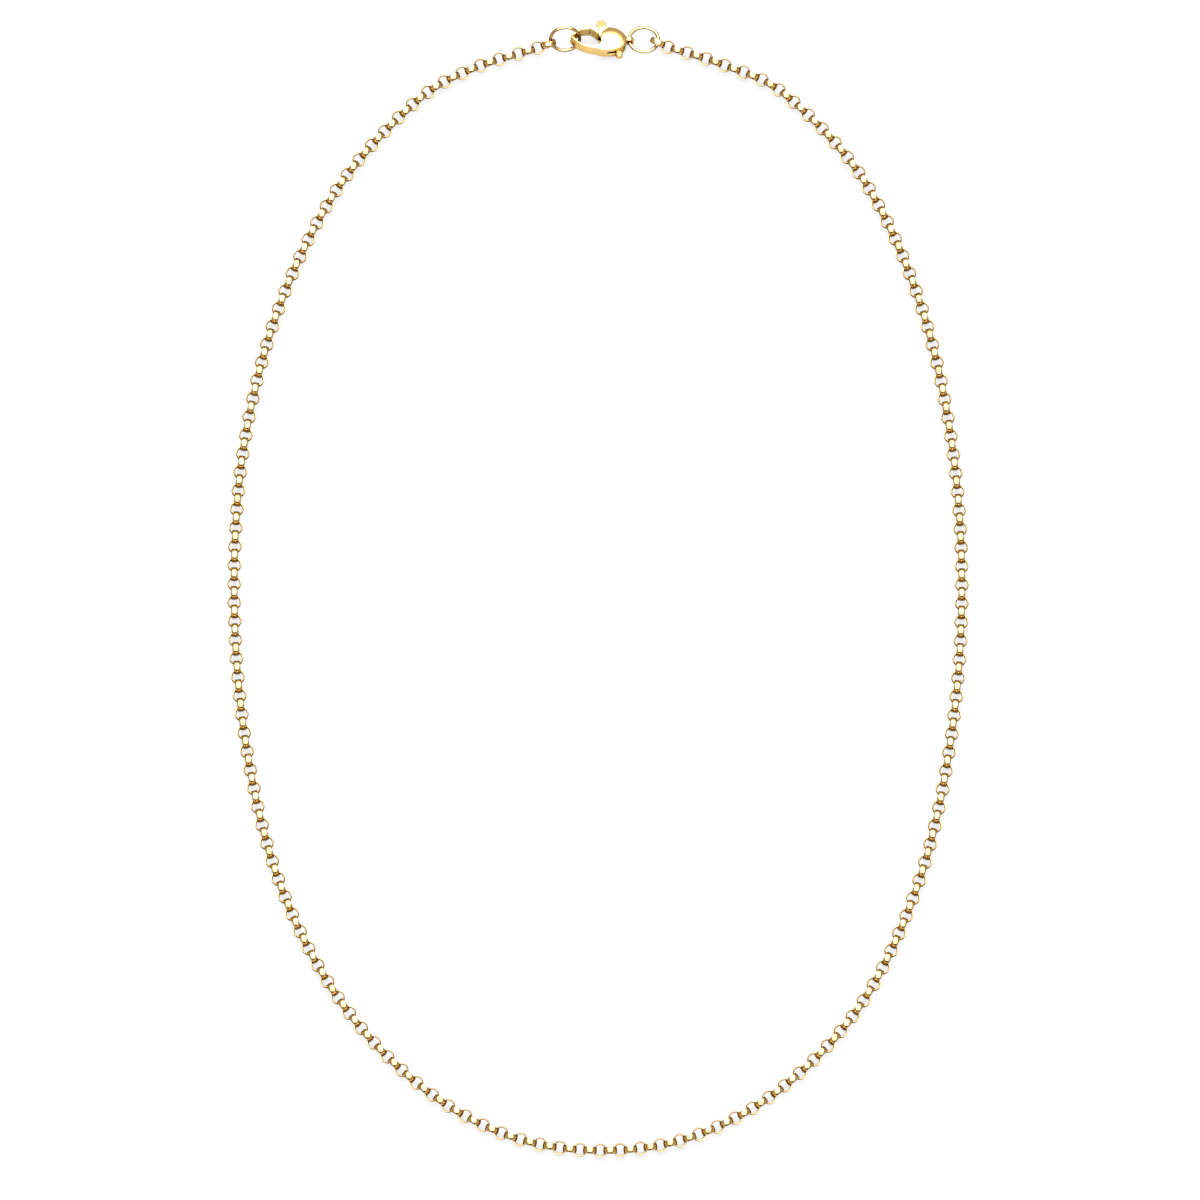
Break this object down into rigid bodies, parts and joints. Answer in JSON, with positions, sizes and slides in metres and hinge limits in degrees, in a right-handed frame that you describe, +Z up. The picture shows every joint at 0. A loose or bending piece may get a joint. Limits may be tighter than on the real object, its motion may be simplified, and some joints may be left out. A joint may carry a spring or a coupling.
{
  "type": "rolo chain necklace",
  "caption": "Round rolo link chain laid as an oval loop, joined at the top by a lobster claw clasp with jump rings on both sides.",
  "frame": {"origin": "middle of the laid loop on the surface that the necklace lies on", "axes": "+Z up from the surface, +Y along the loop towards the clasp, +X to the right seen from above with the clasp at the top"},
  "size_m": [0.1088, 0.18, 0.0043],
  "materials": {
    "chain_gold": "polished yellow gold",
    "ring_gold": "polished yellow gold wire",
    "clasp_gold": "polished cast yellow gold"
  },
  "bodies": {
    "necklace": {"chain_left": "chain_gold", "chain_right": "chain_gold", "left_end_link": "chain_gold", "right_end_link": "chain_gold", "left_jump_ring": "ring_gold", "right_jump_ring": "ring_gold", "clasp_body": "clasp_gold", "clasp_pin": "clasp_gold"},
    "lever": {"clasp_lever": "clasp_gold"}
  },
  "joints": [
    {"name": "clasp_lever", "type": "hinge", "parent": "necklace", "child": "lever", "pos_m": [0.00159, 0.08751, 0.00129], "axis": [0.1026, 0.1908, 0.9762], "range_deg": [0, 18], "stiffness_Nm_per_rad": 0.002, "springref_deg": -17.19}
  ]
}
